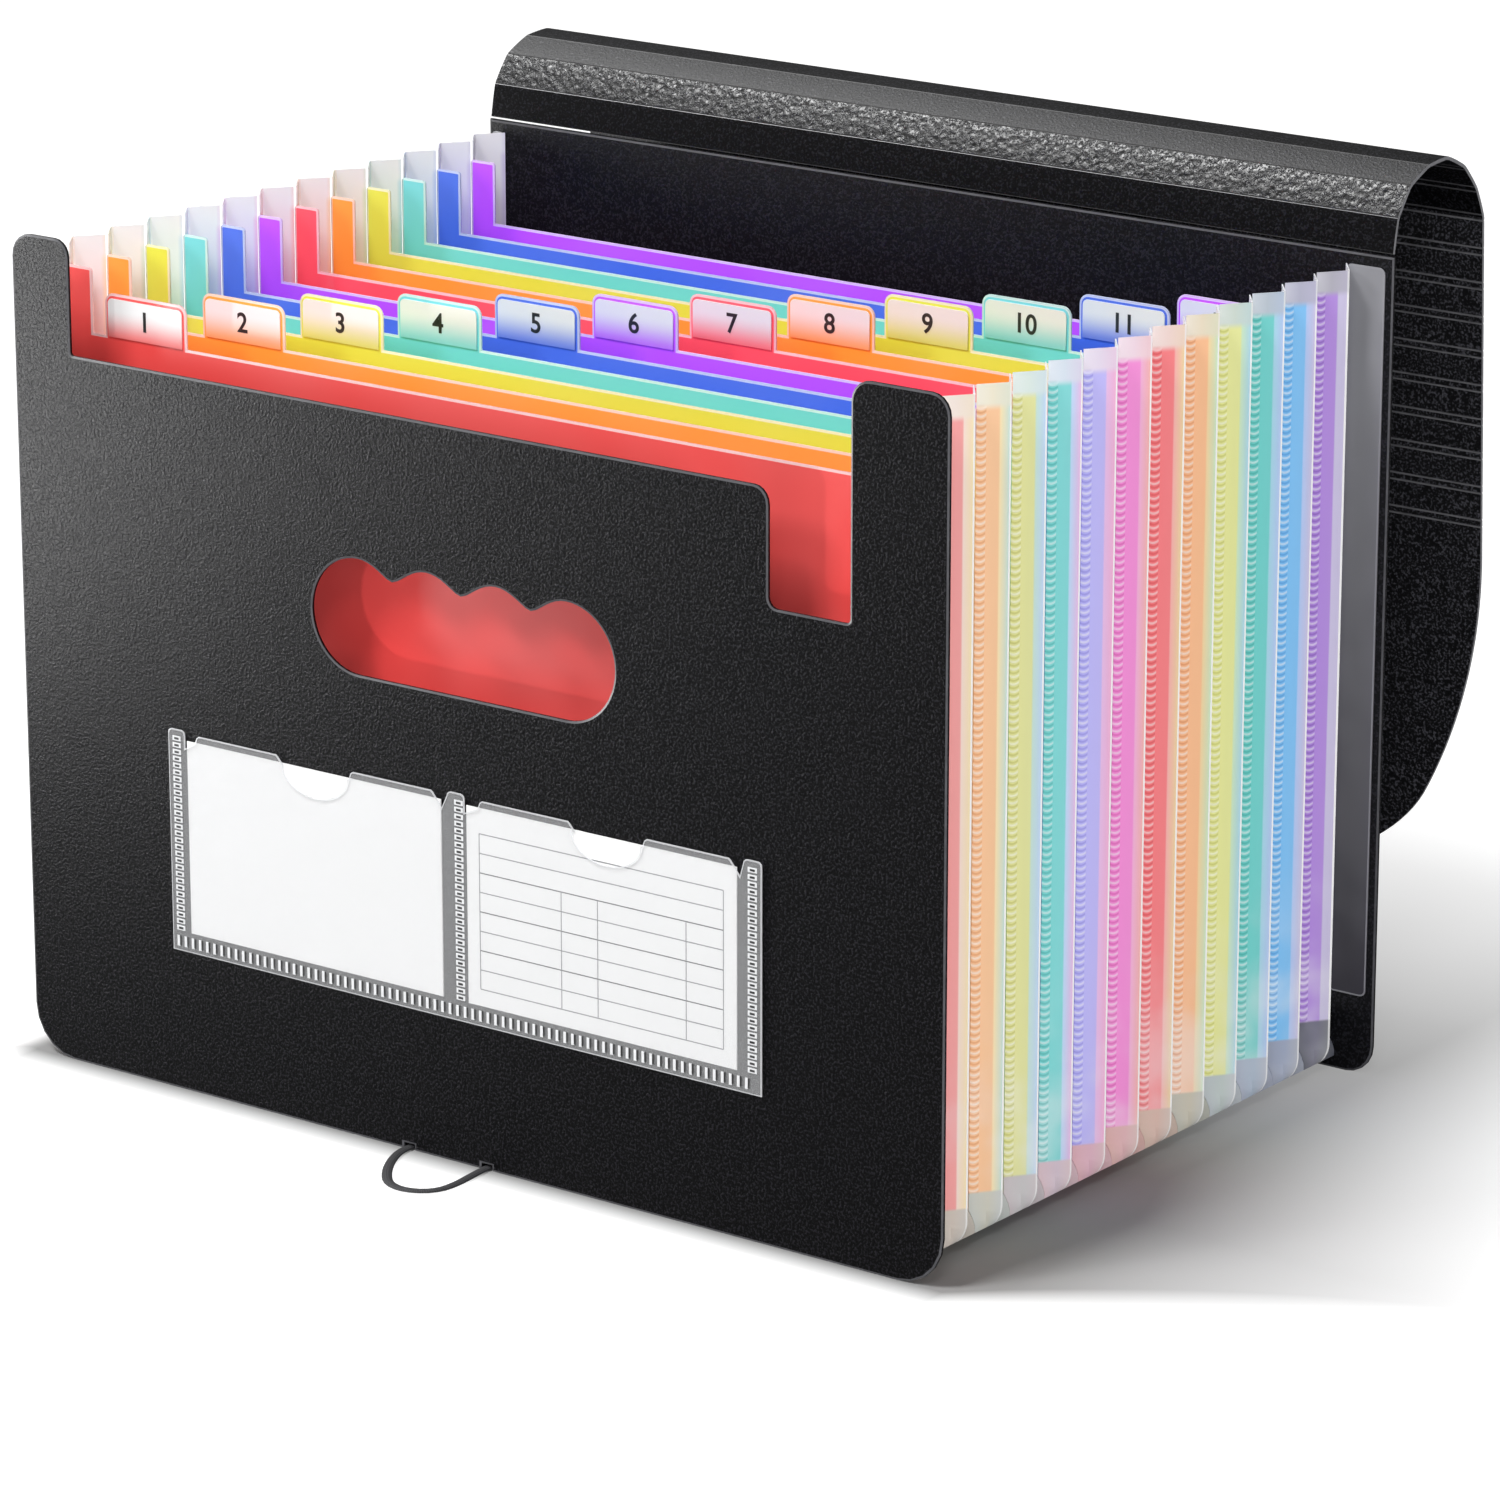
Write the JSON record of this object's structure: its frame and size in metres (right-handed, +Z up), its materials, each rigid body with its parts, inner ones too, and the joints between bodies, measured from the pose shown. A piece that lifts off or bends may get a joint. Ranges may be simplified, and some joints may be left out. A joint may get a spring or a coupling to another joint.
{
  "type": "expanding file folder",
  "caption": "Expanding file with tabbed dividers, bellows gussets, label pocket, handle hole and a scored flap that folds over the top.",
  "frame": {"origin": "on the floor, in the middle of the file's outline without its elastic loop", "axes": "+Z up, -Y the way the front cover faces, +X to the right of somebody who reads the tabs"},
  "size_m": [0.33, 0.3049, 0.2705],
  "materials": {
    "cover_plastic": "fine leather-like grain",
    "gusset_film": "translucent, satin",
    "clear_film": "clear plastic film",
    "label_paper": "matt",
    "card_paper": "matt",
    "elastic": "woven elastic",
    "button_plastic": "satin",
    "divider_sheet_01": "smooth coloured sheet",
    "divider_sheet_02": "smooth coloured sheet",
    "divider_sheet_03": "smooth coloured sheet",
    "divider_sheet_04": "smooth coloured sheet",
    "divider_sheet_05": "smooth coloured sheet",
    "divider_sheet_06": "smooth coloured sheet",
    "divider_sheet_07": "smooth coloured sheet",
    "divider_sheet_08": "smooth coloured sheet",
    "divider_sheet_09": "smooth coloured sheet",
    "divider_sheet_10": "smooth coloured sheet",
    "divider_sheet_11": "smooth coloured sheet",
    "divider_sheet_12": "smooth coloured sheet"
  },
  "bodies": {
    "back_cover": {"back_cover": "cover_plastic", "gusset_13": "gusset_film"},
    "front_cover": {"front_cover": "cover_plastic", "label_pocket_film": "clear_film", "loop_anchor": "cover_plastic", "elastic_loop": "elastic"},
    "index_card_left": {"index_card_left": "card_paper"},
    "index_card_right": {"index_card_right": "card_paper"},
    "divider_01": {"divider_01": "divider_sheet_01", "tab_label_01": "label_paper", "gusset_01": "gusset_film"},
    "divider_02": {"divider_02": "divider_sheet_02", "tab_label_02": "label_paper", "gusset_02": "gusset_film"},
    "divider_03": {"divider_03": "divider_sheet_03", "tab_label_03": "label_paper", "gusset_03": "gusset_film"},
    "divider_04": {"divider_04": "divider_sheet_04", "tab_label_04": "label_paper", "gusset_04": "gusset_film"},
    "divider_05": {"divider_05": "divider_sheet_05", "tab_label_05": "label_paper", "gusset_05": "gusset_film"},
    "divider_06": {"divider_06": "divider_sheet_06", "tab_label_06": "label_paper", "gusset_06": "gusset_film"},
    "divider_07": {"divider_07": "divider_sheet_07", "tab_label_07": "label_paper", "gusset_07": "gusset_film"},
    "divider_08": {"divider_08": "divider_sheet_08", "tab_label_08": "label_paper", "gusset_08": "gusset_film"},
    "divider_09": {"divider_09": "divider_sheet_09", "tab_label_09": "label_paper", "gusset_09": "gusset_film"},
    "divider_10": {"divider_10": "divider_sheet_10", "tab_label_10": "label_paper", "gusset_10": "gusset_film"},
    "divider_11": {"divider_11": "divider_sheet_11", "tab_label_11": "label_paper", "gusset_11": "gusset_film"},
    "divider_12": {"divider_12": "divider_sheet_12", "tab_label_12": "label_paper", "gusset_12": "gusset_film"},
    "flap_arch_1": {"flap_band_1": "cover_plastic", "flap_band_2": "cover_plastic", "flap_band_3": "cover_plastic"},
    "flap_arch_2": {"flap_band_4": "cover_plastic", "flap_band_5": "cover_plastic", "flap_band_6": "cover_plastic", "flap_band_7": "cover_plastic"},
    "flap_panel": {"flap_panel": "cover_plastic"},
    "flap_fold": {"flap_fold_1": "cover_plastic", "flap_fold_2": "cover_plastic", "flap_fold_3": "cover_plastic"},
    "flap_end": {"flap_end": "cover_plastic", "closure_button": "button_plastic", "button_washer": "button_plastic"}
  },
  "joints": [
    {"name": "collapse_slide", "type": "slide", "parent": "back_cover", "child": "front_cover", "axis": [0, 1, 0], "range_m": [0, 0.18], "deforming": ["gusset_01", "gusset_13"]},
    {"name": "divider_01_slide", "type": "slide", "parent": "back_cover", "child": "divider_01", "axis": [0, 1, 0], "range_m": [0, 0.16615]},
    {"name": "divider_02_slide", "type": "slide", "parent": "back_cover", "child": "divider_02", "axis": [0, 1, 0], "range_m": [0, 0.15231], "deforming": ["gusset_02"]},
    {"name": "divider_03_slide", "type": "slide", "parent": "back_cover", "child": "divider_03", "axis": [0, 1, 0], "range_m": [0, 0.13846], "deforming": ["gusset_03"]},
    {"name": "divider_04_slide", "type": "slide", "parent": "back_cover", "child": "divider_04", "axis": [0, 1, 0], "range_m": [0, 0.12462], "deforming": ["gusset_04"]},
    {"name": "divider_05_slide", "type": "slide", "parent": "back_cover", "child": "divider_05", "axis": [0, 1, 0], "range_m": [0, 0.11077], "deforming": ["gusset_05"]},
    {"name": "divider_06_slide", "type": "slide", "parent": "back_cover", "child": "divider_06", "axis": [0, 1, 0], "range_m": [0, 0.09692], "deforming": ["gusset_06"]},
    {"name": "divider_07_slide", "type": "slide", "parent": "back_cover", "child": "divider_07", "axis": [0, 1, 0], "range_m": [0, 0.08308], "deforming": ["gusset_07"]},
    {"name": "divider_08_slide", "type": "slide", "parent": "back_cover", "child": "divider_08", "axis": [0, 1, 0], "range_m": [0, 0.06923], "deforming": ["gusset_08"]},
    {"name": "divider_09_slide", "type": "slide", "parent": "back_cover", "child": "divider_09", "axis": [0, 1, 0], "range_m": [0, 0.05539], "deforming": ["gusset_09"]},
    {"name": "divider_10_slide", "type": "slide", "parent": "back_cover", "child": "divider_10", "axis": [0, 1, 0], "range_m": [0, 0.04154], "deforming": ["gusset_10"]},
    {"name": "divider_11_slide", "type": "slide", "parent": "back_cover", "child": "divider_11", "axis": [0, 1, 0], "range_m": [0, 0.02769], "deforming": ["gusset_11"]},
    {"name": "divider_12_slide", "type": "slide", "parent": "back_cover", "child": "divider_12", "axis": [0, 1, 0], "range_m": [0, 0.01385], "deforming": ["gusset_12"]},
    {"name": "card_left_slide", "type": "slide", "parent": "front_cover", "child": "index_card_left", "axis": [0, 0, 1], "range_m": [0, 0.06]},
    {"name": "card_right_slide", "type": "slide", "parent": "front_cover", "child": "index_card_right", "axis": [0, 0, 1], "range_m": [0, 0.06]},
    {"name": "flap_hinge", "type": "hinge", "parent": "back_cover", "child": "flap_arch_1", "pos_m": [0, 0.08129, 0.2468], "axis": [1, 0, 0], "range_deg": [0, 98]},
    {"name": "flap_arch_2_bend", "type": "hinge", "parent": "flap_arch_1", "child": "flap_arch_2", "pos_m": [0, 0.09897, 0.26931], "axis": [1, 0, 0], "range_deg": [0, 83]},
    {"name": "flap_panel_bend", "type": "hinge", "parent": "flap_arch_2", "child": "flap_panel", "pos_m": [0, 0.13021, 0.24915], "axis": [1, 0, 0], "range_deg": [0, 87.2]},
    {"name": "flap_fold_bend", "type": "hinge", "parent": "flap_panel", "child": "flap_fold", "pos_m": [0, 0.13751, 0.09993], "axis": [1, 0, 0], "range_deg": [0, 45.9]},
    {"name": "flap_end_bend", "type": "hinge", "parent": "flap_fold", "child": "flap_end", "pos_m": [0, 0.13789, 0.07594], "axis": [1, 0, 0], "range_deg": [0, 45.9]}
  ],
  "couplings": [
    {"joint": "divider_01_slide", "follows": "collapse_slide", "ratio": 0.92308},
    {"joint": "divider_02_slide", "follows": "collapse_slide", "ratio": 0.84615},
    {"joint": "divider_03_slide", "follows": "collapse_slide", "ratio": 0.76923},
    {"joint": "divider_04_slide", "follows": "collapse_slide", "ratio": 0.69231},
    {"joint": "divider_05_slide", "follows": "collapse_slide", "ratio": 0.61538},
    {"joint": "divider_06_slide", "follows": "collapse_slide", "ratio": 0.53846},
    {"joint": "divider_07_slide", "follows": "collapse_slide", "ratio": 0.46154},
    {"joint": "divider_08_slide", "follows": "collapse_slide", "ratio": 0.38462},
    {"joint": "divider_09_slide", "follows": "collapse_slide", "ratio": 0.30769},
    {"joint": "divider_10_slide", "follows": "collapse_slide", "ratio": 0.23077},
    {"joint": "divider_11_slide", "follows": "collapse_slide", "ratio": 0.15385},
    {"joint": "divider_12_slide", "follows": "collapse_slide", "ratio": 0.076923},
    {"joint": "flap_arch_2_bend", "follows": "flap_hinge", "ratio": 0.84694},
    {"joint": "flap_panel_bend", "follows": "flap_hinge", "ratio": 0.8898},
    {"joint": "flap_fold_bend", "follows": "flap_hinge", "ratio": 0.46837},
    {"joint": "flap_end_bend", "follows": "flap_hinge", "ratio": 0.46837}
  ]
}
